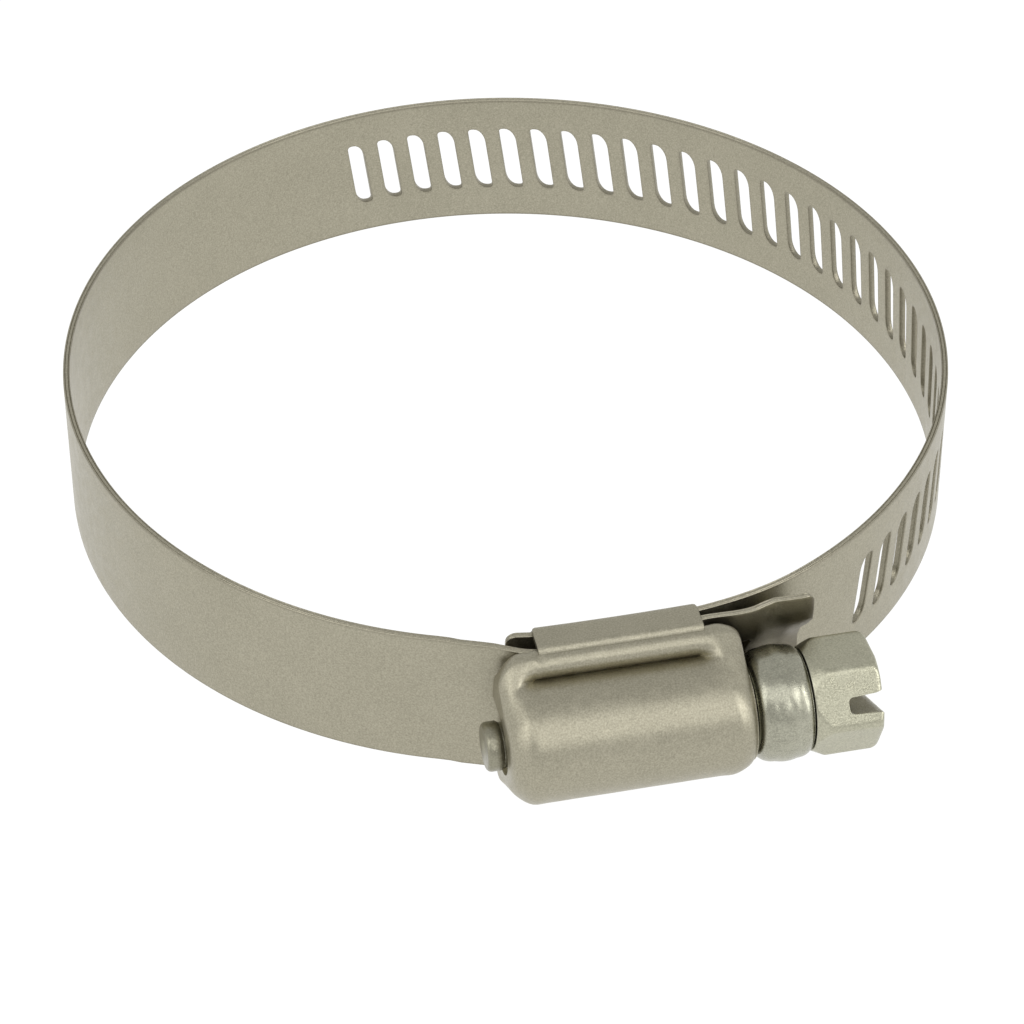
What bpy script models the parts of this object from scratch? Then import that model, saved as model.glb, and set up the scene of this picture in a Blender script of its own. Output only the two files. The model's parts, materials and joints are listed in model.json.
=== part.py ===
"""Worm-drive hose clamp: a slotted band closed by a worm screw in a pressed housing.

Metres, +Z up. The band's ring lies flat, with its axis along +Z. The housing sits on the ring's
-Y side with its screw along X and the hex head at +X. The clamp stands at its tight end. Turning
the screw in the positive sense about +X draws the band's tail towards -X and opens the ring.
"""

from math import asin, atan2, cos, degrees, hypot, pi, radians, sin, sqrt

import bmesh
import bpy
from mathutils import Matrix, Vector

MM = 0.001

# The band: one strip, here in the three stretches that move against one another.
RING_R = 41.75 * MM          # outside radius of the ring
BAND_T = 0.65 * MM           # thickness of the strip
BAND_W = 14.3 * MM           # width of the strip
MID_R = RING_R - BAND_T / 2  # radius of the strip's middle surface
END_CORNER = 1.6 * MM        # corner radius of the strip's two ends
SEAM_GAP = 0.3 * MM          # gap between neighbouring stretches
STATION = 2.4 * MM           # longest straight piece that the curved strip is made of

# Perforation: slots that the worm's thread works in.
PITCH = 3.2 * MM             # slot to slot, and thread to thread
SLOT_L = 7.2 * MM
SLOT_W = 1.55 * MM
SLOT_SLANT = radians(7.5)    # top of each slot leans towards +X at the housing
RING_SLOTS = 35
RING_SLOTS_AT = radians(23.8)   # middle of the perforated arc

# Inner layer: the strip's fixed end, tucked inwards under the housing.
TUCK = 0.8 * MM
TUCK_FROM, TUCK_TO = radians(-85.5), radians(-64)
FIXED_END_X = -8.75 * MM

# Tail: the strip's free end, lifted over the fixed end and led under the worm.
TAIL_LIFT = 0.6 * MM         # how far it stands off the ring's circle under the worm
LIFT_FROM, LIFT_TO = radians(-107.5), radians(-99.5)
TIP_FLARE = 0.22 * MM        # and how much further off it stands at the tip
FLARE_FROM, FLARE_TO = radians(-71), radians(-66)
TAIL_TIP_AT = radians(-63.7)
TAIL_SLOTS = 7
RACK_R = MID_R + TAIL_LIFT   # middle surface under the worm

# Screw, along X.
SCREW_REACH = 45.8 * MM      # from the ring's axis to the screw's axis
ROOT_R, CREST_R = 2.85 * MM, 3.9 * MM
THREAD_CREST, THREAD_ROOT = 0.6 * MM, 1.15 * MM   # thickness of the thread along X
THREAD_AT = -1.0 * MM        # where the thread faces the band squarely
THREAD_FROM, THREAD_TO = -8.3 * MM, 8.0 * MM
THREAD_STEPS = 24            # per turn
JOURNAL_R, JOURNAL_FROM, JOURNAL_TO = 4.0 * MM, 8.8 * MM, 11.65 * MM
PILOT_R, PEEN_R = 2.0 * MM, 2.25 * MM
PILOT_END, PEEN_FROM, CORE_FROM = -12.1 * MM, -10.6 * MM, -9.1 * MM
SHANK_R = 3.2 * MM
HEAD_FROM, HEAD_TO = 16.95 * MM, 22.85 * MM
HEX_FLATS = 9.3 * MM
HEX_CORNER_R = 5.22 * MM     # the hexagon's corners are turned down to this
HEX_CORNER_AT = radians(6.4)    # first corner, up from -Y
HEX_CHAMFER = 0.55 * MM
DRIVE_W, DRIVE_DEPTH = 1.7 * MM, 2.8 * MM
DRIVE_AT = radians(28)       # direction of the screwdriver slot, up from -Y

# Collar ring on the screw's shank, between the housing and the head.
COLLAR_R, COLLAR_BORE = 5.2 * MM, 3.3 * MM
COLLAR_FROM, COLLAR_TO = 11.75 * MM, 16.85 * MM
COLLAR_ROUND = 1.5 * MM

# Housing over the worm.
DOME_R, WALL = 5.55 * MM, 1.1 * MM
DOME_FROM, DOME_TO, DOME_ROUND = -10.4 * MM, 11.5 * MM, 2.0 * MM
FLANGE_IN, FLANGE_OUT = 42.5 * MM, 42.8 * MM      # reach of the flange's two faces
FLANGE_HALF_W = 7.1 * MM
BEAD_IN, BEAD_OUT = 43.55 * MM, 44.6 * MM         # reach of the bead beside each lip
BEAD_HALF_W, BEAD_ROUND = 7.4 * MM, 0.45 * MM
BEAD_FROM, BEAD_TO = -8.8 * MM, 10.2 * MM
PILOT_HOLE_R, JOURNAL_HOLE_R = 2.1 * MM, 4.1 * MM

# Saddle: a plate inside the ring whose two edges fold over the housing's flanges.
SADDLE_FROM, SADDLE_TO = -6.5 * MM, 8.3 * MM
SADDLE_T = 0.6 * MM
SADDLE_IN = 39.5 * MM        # reach of its hose face
SADDLE_TOP = 43.45 * MM      # reach of the folded lips' outer face
SADDLE_HALF_W = 8.0 * MM
SADDLE_BEND = 0.8 * MM
LIP_EDGE = 6.75 * MM

# Motion: the strip's own flexing is stood in for by two hinges along Z. The back hinge is nearly
# opposite the mouth hinge, so the tail travels round the ring's circle, through its own place.
TURNS = 1.5                  # turns of the screw from tight to open
TAIL_TURN = TURNS * PITCH / RACK_R
MOUTH_AT = radians(-108)     # hinge at the housing's left mouth
BACK_AT = RING_SLOTS_AT + 10.5 * PITCH / MID_R    # halfway between two slots
MOUTH = Vector((MID_R * cos(MOUTH_AT), MID_R * sin(MOUTH_AT), 0))
BACK = Vector((MID_R * cos(BACK_AT), MID_R * sin(BACK_AT), 0))
SWING = TAIL_TURN * MID_R / (BACK - MOUTH).length

# The object's own frame: origin at the centre of the bounding box's bottom.
RING_CENTRE = Vector((0, (SCREW_REACH + DOME_R - RING_R) / 2, SADDLE_HALF_W))

STEEL = (0.40, 0.375, 0.31)
BRIGHT_STEEL = (0.52, 0.51, 0.47)


def clear_scene():
    for obj in list(bpy.data.objects):
        bpy.data.objects.remove(obj, do_unlink=True)


def material(name, colour, roughness):
    made = bpy.data.materials.new(name)
    made.use_nodes = True
    shader = made.node_tree.nodes["Principled BSDF"]
    shader.inputs["Base Color"].default_value = (*colour, 1)
    shader.inputs["Metallic"].default_value = 1
    shader.inputs["Roughness"].default_value = roughness
    return made


def collection(name, hidden=False):
    made = bpy.data.collections.new(name)
    bpy.context.scene.collection.children.link(made)
    made.hide_render = hidden
    return made


def add_object(name, shape, group, origin=(0, 0, 0)):
    """An object of this bmesh, with its origin moved to this point of the ring's frame."""
    bmesh.ops.recalc_face_normals(shape, faces=shape.faces)
    bmesh.ops.translate(shape, verts=shape.verts, vec=-Vector(origin))
    mesh = bpy.data.meshes.new(name)
    shape.to_mesh(mesh)
    shape.free()
    obj = bpy.data.objects.new(name, mesh)
    obj.location = origin
    group.objects.link(obj)
    return obj


def add_cutter(name, shape, group, origin=(0, 0, 0)):
    cutter = add_object(name, shape, group, origin)
    cutter.display_type = "WIRE"
    cutter.hide_render = True
    return cutter


def boolean(obj, other, operation):
    step = obj.modifiers.new(other.name, "BOOLEAN")
    step.operation = operation
    step.solver = "EXACT"
    step.object = other


def box(low, high):
    shape = bmesh.new()
    bmesh.ops.create_cube(shape, size=1)
    size = Vector(high) - Vector(low)
    bmesh.ops.scale(shape, verts=shape.verts, vec=size)
    bmesh.ops.translate(shape, verts=shape.verts, vec=Vector(low) + size / 2)
    return shape


def prism(outline, start, end, extrude):
    """A solid of this closed outline, swept from start to end along the vector extrude's axis."""
    shape = bmesh.new()
    along = Vector(extrude)
    base = shape.faces.new([shape.verts.new(Vector(point) + along * start) for point in outline])
    swept = bmesh.ops.extrude_face_region(shape, geom=[base])
    moved = [part for part in swept["geom"] if isinstance(part, bmesh.types.BMVert)]
    bmesh.ops.translate(shape, verts=moved, vec=along * (end - start))
    return shape


def around_x(radius, angle):
    """A point of the ring's frame at this radius from the screw's axis, up from -Y."""
    return Vector((0, -SCREW_REACH - radius * cos(angle), radius * sin(angle)))


def lathe(profile, segments=48):
    """A solid turned about the screw's axis. The profile lists (x, radius), and starts and ends on the axis."""
    shape = bmesh.new()
    points = [shape.verts.new(around_x(radius, 0) + Vector((x, 0, 0))) for x, radius in profile]
    edges = [shape.edges.new(pair) for pair in zip(points, points[1:])]
    bmesh.ops.spin(
        shape, geom=points + edges, cent=around_x(0, 0), axis=(1, 0, 0), angle=2 * pi,
        steps=segments, use_merge=True,
    )
    bmesh.ops.remove_doubles(shape, verts=shape.verts, dist=1e-6)
    return shape


def ease(value, start, end):
    share = min(max((value - start) / (end - start), 0), 1)
    return share * share * (3 - 2 * share)


# ---------------------------------------------------------------- the band

def ring_point(angle):
    """Middle surface of the strip at this angle, tucked in where it is the inner layer."""
    radius = MID_R - TUCK * (1 - ease(angle, TUCK_FROM, TUCK_TO))
    return Vector((radius * cos(angle), radius * sin(angle), 0))


def free_point(angle):
    """Middle surface of the strip's free half: on the ring, then lifted, then flared at the tip."""
    radius = MID_R + TAIL_LIFT * ease(angle, LIFT_FROM, LIFT_TO)
    radius += TIP_FLARE * ease(angle, FLARE_FROM, FLARE_TO)
    return Vector((radius * cos(angle), radius * sin(angle), 0))


class Route:
    """A path that can be read by length: a fine polyline of one of the functions above."""

    def __init__(self, point, start, end, steps=600):
        self.values = [start + (end - start) * step / steps for step in range(steps + 1)]
        self.points = [point(value) for value in self.values]
        self.lengths = [0]
        for before, after in zip(self.points, self.points[1:]):
            self.lengths.append(self.lengths[-1] + (after - before).length)
        self.length = self.lengths[-1]

    def segment(self, row, value):
        """(index, share) of the stretch of this rising row that holds the value."""
        index = 0
        while index < len(row) - 2 and row[index + 1] < value:
            index += 1
        return index, (value - row[index]) / (row[index + 1] - row[index])

    def length_at(self, value):
        index, share = self.segment(self.values, value)
        return self.lengths[index] + share * (self.lengths[index + 1] - self.lengths[index])

    def place(self, along, outwards, height):
        """The point this far along the path, out from its middle surface and up."""
        index, share = self.segment(self.lengths, along)
        before, after = self.points[index], self.points[index + 1]
        ahead = (after - before).normalized()
        normal = Vector((ahead.y, -ahead.x, 0))
        return before + (after - before) * share + normal * outwards + Vector((0, 0, height))


def slot_cutters(centres):
    """Slanted stadium-shaped prisms through a flat strip that lies along X with its thickness in Y."""
    shape = bmesh.new()
    half = (SLOT_L - SLOT_W) / 2
    for centre in centres:
        outline = []
        for turn in range(12):
            angle = pi * turn / 5 - (pi if turn > 5 else 0) * 1 / 5
            end = half if turn < 6 else -half
            corner = Vector((SLOT_W / 2 * cos(angle), 0, end + SLOT_W / 2 * sin(angle)))
            outline.append(Matrix.Rotation(SLOT_SLANT, 3, "Y") @ corner + Vector((centre, -BAND_T, 0)))
        base = shape.faces.new([shape.verts.new(point) for point in outline])
        swept = bmesh.ops.extrude_face_region(shape, geom=[base])
        moved = [part for part in swept["geom"] if isinstance(part, bmesh.types.BMVert)]
        bmesh.ops.translate(shape, verts=moved, vec=(0, 2 * BAND_T, 0))
    return shape


def flat_strip(length, slots, rounded_ends):
    """A flat strip from x = 0 to length, cut across every STATION and halfway between slots."""
    shape = box((0, -BAND_T / 2, -BAND_W / 2), (length, BAND_T / 2, BAND_W / 2))
    corners = [
        edge for edge in shape.edges
        if abs((edge.verts[0].co - edge.verts[1].co).y) > BAND_T / 2
        and any(abs(edge.verts[0].co.x - end) < BAND_T for end in rounded_ends)
    ]
    bmesh.ops.bevel(shape, geom=corners, offset=END_CORNER, segments=5, profile=0.5, affect="EDGES")
    cuts = [slot + PITCH / 2 for slot in slots]
    if slots:
        cuts.append(slots[0] - PITCH / 2)
    free = [0, *sorted(cuts), length]
    for start, end in zip(free, free[1:]):
        if end - start > PITCH * 1.01:
            parts = int((end - start) / STATION) + 1
            cuts += [start + (end - start) * part / parts for part in range(1, parts)]
    for cut in cuts:
        bmesh.ops.bisect_plane(
            shape, geom=shape.verts[:] + shape.edges[:] + shape.faces[:],
            plane_co=(cut, 0, 0), plane_no=(1, 0, 0),
        )
    return shape


def add_band(name, route, slots, rounded_ends, origin):
    """A stretch of the strip: cut flat, perforated flat, then bent to its route."""
    group = collection(name)
    flat = add_object(name, flat_strip(route.length, slots, rounded_ends), group)
    if slots:
        helpers = collection(name + "_cutters", hidden=True)
        boolean(flat, add_cutter(name + "_slots", slot_cutters(slots), helpers), "DIFFERENCE")
    mesh = bpy.data.meshes.new_from_object(flat.evaluated_get(bpy.context.evaluated_depsgraph_get()))
    flat.modifiers.clear()
    bent = bmesh.new()
    bent.from_mesh(mesh)
    bmesh.ops.triangulate(bent, faces=bent.faces)
    for vert in bent.verts:
        vert.co = route.place(vert.co.x, vert.co.y, vert.co.z) - origin
    bent.normal_update()
    bmesh.ops.recalc_face_normals(bent, faces=bent.faces)
    bent.to_mesh(flat.data)
    bent.free()
    flat.location = origin
    return flat


def add_bands(steel):
    end_at = -pi / 2 + asin(FIXED_END_X / (MID_R - TUCK))
    gap = SEAM_GAP / 2 / MID_R
    fixed = Route(ring_point, end_at, BACK_AT - gap)
    free = Route(free_point, BACK_AT + gap - 2 * pi, MOUTH_AT - gap)
    tail = Route(free_point, MOUTH_AT + gap, TAIL_TIP_AT)
    seam = fixed.length_at(BACK_AT - gap) + gap * MID_R
    to_seam = [(count + 0.5) * PITCH for count in range(RING_SLOTS)]
    past_seam = RING_SLOTS // 2 - 10
    fixed_slots = sorted(seam - step for step in to_seam[:RING_SLOTS - past_seam])
    free_slots = [step - gap * MID_R for step in to_seam[:past_seam]]
    worm = tail.length_at(THREAD_AT / RACK_R - pi / 2)
    tail_slots = [worm + (count - 2) * PITCH for count in range(TAIL_SLOTS)]
    return [
        add_steel(add_band("band_fixed_half", fixed, fixed_slots, (0,), Vector()), steel),
        add_steel(add_band("band_free_half", free, free_slots, (), BACK), steel),
        add_steel(add_band("band_tail", tail, tail_slots, (tail.length,), MOUTH), steel),
    ]


def add_steel(obj, steel):
    obj.data.materials.clear()
    obj.data.materials.append(steel)
    return obj


# ---------------------------------------------------------------- the screw

def thread():
    """The worm's thread: a trapezium swept along a right-hand helix, sunk a little into the core."""
    turns = (THREAD_TO - THREAD_FROM) / PITCH
    first = pi + 2 * pi * (THREAD_FROM - THREAD_AT) / PITCH
    inner = ROOT_R - 0.3 * MM
    section = [
        (-THREAD_ROOT / 2, inner), (-THREAD_CREST / 2, CREST_R),
        (THREAD_CREST / 2, CREST_R), (THREAD_ROOT / 2, inner),
    ]
    steps = round(turns * THREAD_STEPS)
    shape = bmesh.new()
    # Angles run up from -Y, which is against the right-hand sense about +X, so the helix turns back.
    points = [around_x(radius, -first) + Vector((x + THREAD_FROM, 0, 0)) for x, radius in section]
    base = shape.faces.new([shape.verts.new(point) for point in points])
    bmesh.ops.spin(
        shape, geom=[base, *base.edges, *base.verts], cent=around_x(0, 0), axis=(1, 0, 0),
        dvec=(PITCH * turns / steps, 0, 0), angle=2 * pi * turns, steps=steps,
    )
    open_edges = [edge for edge in shape.edges if len(edge.link_faces) == 1]
    if open_edges:
        bmesh.ops.contextual_create(shape, geom=open_edges)
    return shape


def hex_bar():
    corner_r = HEX_FLATS / 2 / cos(pi / 6)
    corners = [around_x(corner_r, HEX_CORNER_AT + turn * pi / 3) for turn in range(6)]
    return prism(corners, HEAD_FROM, HEAD_TO, (1, 0, 0))


def head_turning():
    """What the hexagon's corners and ends are turned down to."""
    face_r = HEX_CORNER_R - 2 * HEX_CHAMFER
    return lathe([
        (HEAD_FROM, 0), (HEAD_FROM, face_r + HEX_CHAMFER), (HEAD_FROM + HEX_CHAMFER, HEX_CORNER_R),
        (HEAD_TO - HEX_CHAMFER, HEX_CORNER_R), (HEAD_TO, face_r), (HEAD_TO, 0),
    ])


def drive_slot():
    half = DRIVE_W / 2
    outline = [around_x(0, 0) + Vector((0, y, -half)) for y in (-2 * COLLAR_R, 2 * COLLAR_R)]
    outline += [around_x(0, 0) + Vector((0, y, half)) for y in (2 * COLLAR_R, -2 * COLLAR_R)]
    shape = prism(outline, HEAD_TO - DRIVE_DEPTH, HEAD_TO + DRIVE_DEPTH, (1, 0, 0))
    turn = Matrix.Rotation(-DRIVE_AT, 3, "X")
    bmesh.ops.rotate(shape, verts=shape.verts, cent=around_x(0, 0), matrix=turn)
    return shape


def add_screw(steel):
    axis = around_x(0, 0)
    group = collection("worm_screw")
    helpers = collection("worm_screw_cutters", hidden=True)
    core = lathe([
        (PILOT_END, 0), (PILOT_END, PEEN_R - 0.3 * MM), (PILOT_END + 0.3 * MM, PEEN_R),
        (PEEN_FROM, PEEN_R), (PEEN_FROM, PILOT_R), (CORE_FROM, PILOT_R),
        (CORE_FROM + 0.4 * MM, ROOT_R), (JOURNAL_FROM - 0.6 * MM, ROOT_R),
        (JOURNAL_FROM, JOURNAL_R), (JOURNAL_TO, JOURNAL_R), (JOURNAL_TO, SHANK_R),
        (HEAD_FROM + HEX_CHAMFER, SHANK_R), (HEAD_FROM + HEX_CHAMFER, 0),
    ])
    screw = add_object("worm_screw", core, group, axis)
    head = add_cutter("head_bar", hex_bar(), helpers, axis)
    boolean(head, add_cutter("head_turning", head_turning(), helpers, axis), "INTERSECT")
    boolean(screw, add_cutter("thread", thread(), helpers, axis), "UNION")
    boolean(screw, head, "UNION")
    boolean(screw, add_cutter("drive_slot", drive_slot(), helpers, axis), "DIFFERENCE")
    return add_steel(screw, steel)


def add_collar(steel):
    """A barrel-shaped ring with rounded rims."""
    group = collection("screw_collar")
    rim = COLLAR_R - COLLAR_ROUND
    arc = [pi / 2 * turn / 6 for turn in range(7)]
    left = [(COLLAR_FROM + COLLAR_ROUND * (1 - sin(a)), rim + COLLAR_ROUND * cos(a)) for a in reversed(arc)]
    right = [(COLLAR_TO - COLLAR_ROUND * (1 - sin(a)), rim + COLLAR_ROUND * cos(a)) for a in arc]
    outline = [(COLLAR_FROM, COLLAR_BORE), (COLLAR_FROM, rim)] + left + right
    outline += [(COLLAR_TO, rim), (COLLAR_TO, COLLAR_BORE), (COLLAR_FROM, COLLAR_BORE)]
    ring = add_object("screw_collar", lathe(outline), group, around_x(0, 0))
    return add_steel(ring, steel)


# ---------------------------------------------------------------- housing and saddle

def dome_outline(radius, base, segments=20):
    """Section across the housing: a half circle over the screw, with straight sides down to base."""
    arch = [around_x(radius, pi / 2 - pi * turn / segments) for turn in range(segments + 1)]
    return [Vector((0, -base, radius))] + arch + [Vector((0, -base, -radius))]


def bevel_ends(shape, ends, amount, segments):
    """Rounds the rims of a prism along X, but not where they run along its open base."""
    base = max(vert.co.y for vert in shape.verts)
    rims = [
        edge for edge in shape.edges
        if any(all(abs(vert.co.x - end) < 1e-6 for vert in edge.verts) for end in ends)
        and min(vert.co.y for vert in edge.verts) < base - 1e-6
    ]
    bmesh.ops.bevel(
        shape, geom=rims, offset=amount, segments=segments, profile=0.5, affect="EDGES",
        clamp_overlap=True,
    )
    return shape


def dome():
    shape = prism(dome_outline(DOME_R, FLANGE_IN), DOME_FROM, DOME_TO, (1, 0, 0))
    return bevel_ends(shape, (DOME_FROM, DOME_TO), DOME_ROUND, 5)


def beads():
    """The bead along each of the saddle's lips, as one bar through the dome."""
    shape = box((BEAD_FROM, -BEAD_OUT, -BEAD_HALF_W), (BEAD_TO, -BEAD_IN, BEAD_HALF_W))
    bmesh.ops.bevel(
        shape, geom=shape.edges[:], offset=BEAD_ROUND, segments=4, profile=0.5, affect="EDGES"
    )
    return shape


def add_housing(steel):
    group = collection("housing")
    helpers = collection("housing_cutters", hidden=True)
    housing = add_object("housing", dome(), group)
    flange = box(
        (SADDLE_FROM + BAND_T, -FLANGE_OUT, -FLANGE_HALF_W),
        (SADDLE_TO - BAND_T, -FLANGE_IN, FLANGE_HALF_W),
    )
    cavity = prism(
        dome_outline(DOME_R - WALL, FLANGE_IN - BAND_T), DOME_FROM + WALL, DOME_TO - WALL, (1, 0, 0)
    )
    pilot_hole = lathe([
        (2 * DOME_FROM, 0), (2 * DOME_FROM, PILOT_HOLE_R), (0, PILOT_HOLE_R), (0, 0),
    ])
    journal_hole = lathe([(0, 0), (0, JOURNAL_HOLE_R), (2 * DOME_TO, JOURNAL_HOLE_R), (2 * DOME_TO, 0)])
    boolean(housing, add_cutter("beads", beads(), helpers), "UNION")
    boolean(housing, add_cutter("flange", flange, helpers), "UNION")
    boolean(housing, add_cutter("cavity", cavity, helpers), "DIFFERENCE")
    boolean(housing, add_cutter("pilot_hole", pilot_hole, helpers), "DIFFERENCE")
    boolean(housing, add_cutter("journal_hole", journal_hole, helpers), "DIFFERENCE")
    return add_steel(housing, steel)


def saddle_outline():
    """Section across the saddle: a C with its back on the hose side and its lips turned in."""
    inner = SADDLE_HALF_W - SADDLE_T
    lip_in = SADDLE_TOP - SADDLE_T
    bend = [pi / 2 * turn / 4 for turn in range(5)]
    half = [(SADDLE_IN + SADDLE_T, 0), (SADDLE_IN + SADDLE_T, inner), (lip_in, inner), (lip_in, LIP_EDGE)]
    half.append((SADDLE_TOP, LIP_EDGE))
    centre_z, top, foot = SADDLE_HALF_W - SADDLE_BEND, SADDLE_TOP - SADDLE_BEND, SADDLE_IN + SADDLE_BEND
    half += [(top + SADDLE_BEND * cos(a), centre_z + SADDLE_BEND * sin(a)) for a in bend]
    half += [(foot - SADDLE_BEND * sin(a), centre_z + SADDLE_BEND * cos(a)) for a in bend]
    half.append((SADDLE_IN, 0))
    points = [Vector((0, -reach, height)) for reach, height in half]
    mirrored = [Vector((0, -reach, -height)) for reach, height in reversed(half[1:-1])]
    return points + mirrored


def add_saddle(steel):
    group = collection("saddle")
    shape = prism(saddle_outline(), SADDLE_FROM, SADDLE_TO, (1, 0, 0))
    parts = 8
    for part in range(1, parts):
        cut = SADDLE_FROM + (SADDLE_TO - SADDLE_FROM) * part / parts
        bmesh.ops.bisect_plane(
            shape, geom=shape.verts[:] + shape.edges[:] + shape.faces[:],
            plane_co=(cut, 0, 0), plane_no=(1, 0, 0),
        )
    # The back follows the hose, and the lips stay straight.
    web = SADDLE_IN + SADDLE_T
    for vert in shape.verts:
        sag = web - sqrt(web**2 - vert.co.x**2)
        vert.co.y += sag * (1 - ease(-vert.co.y, web, web + 3 * SADDLE_T))
    bmesh.ops.triangulate(shape, faces=shape.faces)
    return add_steel(add_object("saddle", shape, group), steel)


def main():
    clear_scene()
    steel = material("stainless", STEEL, 0.38)
    screw_steel = material("screw_steel", STEEL, 0.5)
    bright = material("collar_steel", BRIGHT_STEEL, 0.22)
    parts = add_bands(steel)
    parts += [add_screw(screw_steel), add_collar(bright), add_housing(steel), add_saddle(steel)]
    centre = bpy.data.objects.new("ring_centre", None)
    centre.location = RING_CENTRE
    bpy.context.scene.collection.objects.link(centre)
    for obj in [*parts, *(item for item in bpy.data.objects if item.hide_render)]:
        obj.parent = centre
    for name, place in (("back hinge", BACK), ("mouth hinge", MOUTH), ("screw axis", around_x(0, 0))):
        print(name, [round(value, 6) for value in place + RING_CENTRE])
    print("band_swing", degrees(SWING), "deg, ratio", -SWING / (2 * pi * TURNS))
    print("tail_follow", degrees(TAIL_TURN - SWING), "deg, ratio", -(TAIL_TURN - SWING) / (2 * pi * TURNS))


main()
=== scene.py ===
"""Looks of the worm-drive hose clamp: slotted band, pressed housing, folded saddle, worm screw and collar.

Metres. Every piece is shaped in the ring's own axes: origin at the ring's centre, +Z up, housing on
the -Y side, screw along X. "Reach" is the distance from the ring's centre towards -Y. Each piece is
then moved out to the ring's place in the frame, which the screw's joint gives.
"""

import json
from math import acos, asin, atan2, cos, pi, radians, sin, sqrt, tan

import bmesh
import bpy
import numpy as np
from mathutils import Matrix, Vector, noise


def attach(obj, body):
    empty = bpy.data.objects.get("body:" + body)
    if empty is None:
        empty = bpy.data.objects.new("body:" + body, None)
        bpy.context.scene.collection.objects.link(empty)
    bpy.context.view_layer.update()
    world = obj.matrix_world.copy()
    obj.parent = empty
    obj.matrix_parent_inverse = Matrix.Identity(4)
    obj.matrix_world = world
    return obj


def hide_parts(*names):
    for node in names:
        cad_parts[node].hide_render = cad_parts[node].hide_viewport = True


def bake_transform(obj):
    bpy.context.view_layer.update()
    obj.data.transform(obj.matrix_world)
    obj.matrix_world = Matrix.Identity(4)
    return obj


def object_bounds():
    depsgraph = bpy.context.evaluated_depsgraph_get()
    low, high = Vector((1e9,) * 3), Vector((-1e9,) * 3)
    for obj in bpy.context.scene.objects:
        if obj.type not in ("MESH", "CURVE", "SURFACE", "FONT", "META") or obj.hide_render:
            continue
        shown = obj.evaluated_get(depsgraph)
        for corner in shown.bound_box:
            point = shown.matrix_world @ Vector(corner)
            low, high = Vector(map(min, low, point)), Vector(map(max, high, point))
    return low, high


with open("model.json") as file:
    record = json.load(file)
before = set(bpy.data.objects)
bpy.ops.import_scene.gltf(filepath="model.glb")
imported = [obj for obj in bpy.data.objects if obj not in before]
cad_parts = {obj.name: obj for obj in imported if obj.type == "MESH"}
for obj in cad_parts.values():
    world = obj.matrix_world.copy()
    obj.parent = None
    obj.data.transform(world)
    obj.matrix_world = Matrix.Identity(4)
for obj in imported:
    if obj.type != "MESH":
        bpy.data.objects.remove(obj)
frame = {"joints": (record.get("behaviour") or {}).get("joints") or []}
cad_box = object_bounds()

MM = 0.001

# Sizes that the CAD model has as well. The slots are 0.05 mm larger here.
RING_R, BAND_T, BAND_W = 41.75 * MM, 0.65 * MM, 14.3 * MM
MID_R = RING_R - BAND_T / 2
PITCH, SLOT_L, SLOT_W, SLOT_SLANT = 3.2 * MM, 7.25 * MM, 1.6 * MM, radians(7.5)
SLOTS_BEFORE_BACK, SLOTS_AFTER_BACK = 28, 7
TUCK, TUCK_FROM, TUCK_TO = 0.8 * MM, radians(-85.5), radians(-64)
FIXED_END_X = -8.75 * MM
TAIL_LIFT, LIFT_FROM, LIFT_TO = 0.6 * MM, radians(-107.5), radians(-99.5)
TIP_FLARE, FLARE_FROM, FLARE_TO = 0.22 * MM, radians(-71), radians(-66)
TAIL_TIP_AT = radians(-64.8)     # a little short of the CAD model's, clear of the collar
TAIL_SLOTS, TAIL_SLOTS_BEFORE = 7, 2     # all of them, and those to the left of THREAD_AT
SCREW_REACH = 45.8 * MM
THREAD_AT = -1.0 * MM

SHARP = radians(38)          # faces that meet at more than this are shaded with an edge

# The frame's places.
JOINTS = {joint["name"]: joint for joint in frame["joints"]}
SCREW_AXIS = Vector(JOINTS["screw_turn"]["pos_m"])
CENTRE = SCREW_AXIS + Vector((0, SCREW_REACH, 0))
BACK_HINGE = Vector(JOINTS["band_swing"]["pos_m"])
BACK_AT = atan2((BACK_HINGE - CENTRE).y, (BACK_HINGE - CENTRE).x)


def ease(value, start, end):
    """0 before start, 1 after end, smooth between. It takes numbers and arrays."""
    share = np.clip((value - start) / (end - start), 0, 1)
    return share * share * (3 - 2 * share)


def bump(value, centre, width):
    """1 at the centre, falling smoothly to 0 a width away."""
    return ease(value, centre - width, centre) * (1 - ease(value, centre, centre + width))


# ---------------------------------------------------------------- meshes


class Shell:
    """Points, faces and an edge mark for each point, gathered row by row. The edge mark darkens the steel,
    for sheared edges and for painted shade.
    """

    def __init__(self):
        self.points, self.marks, self.faces = [], [], []

    def row(self, points, mark=0.0):
        first = len(self.points)
        self.points += [tuple(point) for point in points]
        self.marks += [mark] * (len(self.points) - first)
        return list(range(first, len(self.points)))

    def strip(self, one, two, closed=False):
        """Quads between two rows of the same length."""
        last = len(one) if closed else len(one) - 1
        for here in range(last):
            after = (here + 1) % len(one)
            self.faces.append((one[here], one[after], two[after], two[here]))

    def fan(self, row, hub):
        for here in range(len(row)):
            self.faces.append((row[here], row[(here + 1) % len(row)], hub))


def add_object(name, points, faces, marks=None, sharp=SHARP):
    """A smooth-shaded mesh object in the shared frame, from points in the ring's axes."""
    mesh = bpy.data.meshes.new(name)
    mesh.from_pydata([tuple(Vector(point) + CENTRE) for point in points], [], faces)
    mesh.validate()
    obj = bpy.data.objects.new(name, mesh)
    bpy.context.scene.collection.objects.link(obj)
    turn_outwards(mesh)
    mesh.shade_smooth()
    mesh.set_sharp_from_angle(angle=sharp)
    # the edge mark: darkening for sheared edges and for painted shade
    edge = mesh.attributes.new("edge", "FLOAT", "POINT")
    edge.data.foreach_set("value", np.array(marks or [0.0] * len(points), np.float32))
    return obj


def turn_outwards(mesh):
    shape = bmesh.new()
    shape.from_mesh(mesh)
    bmesh.ops.recalc_face_normals(shape, faces=shape.faces)
    shape.to_mesh(mesh)
    shape.free()


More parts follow.
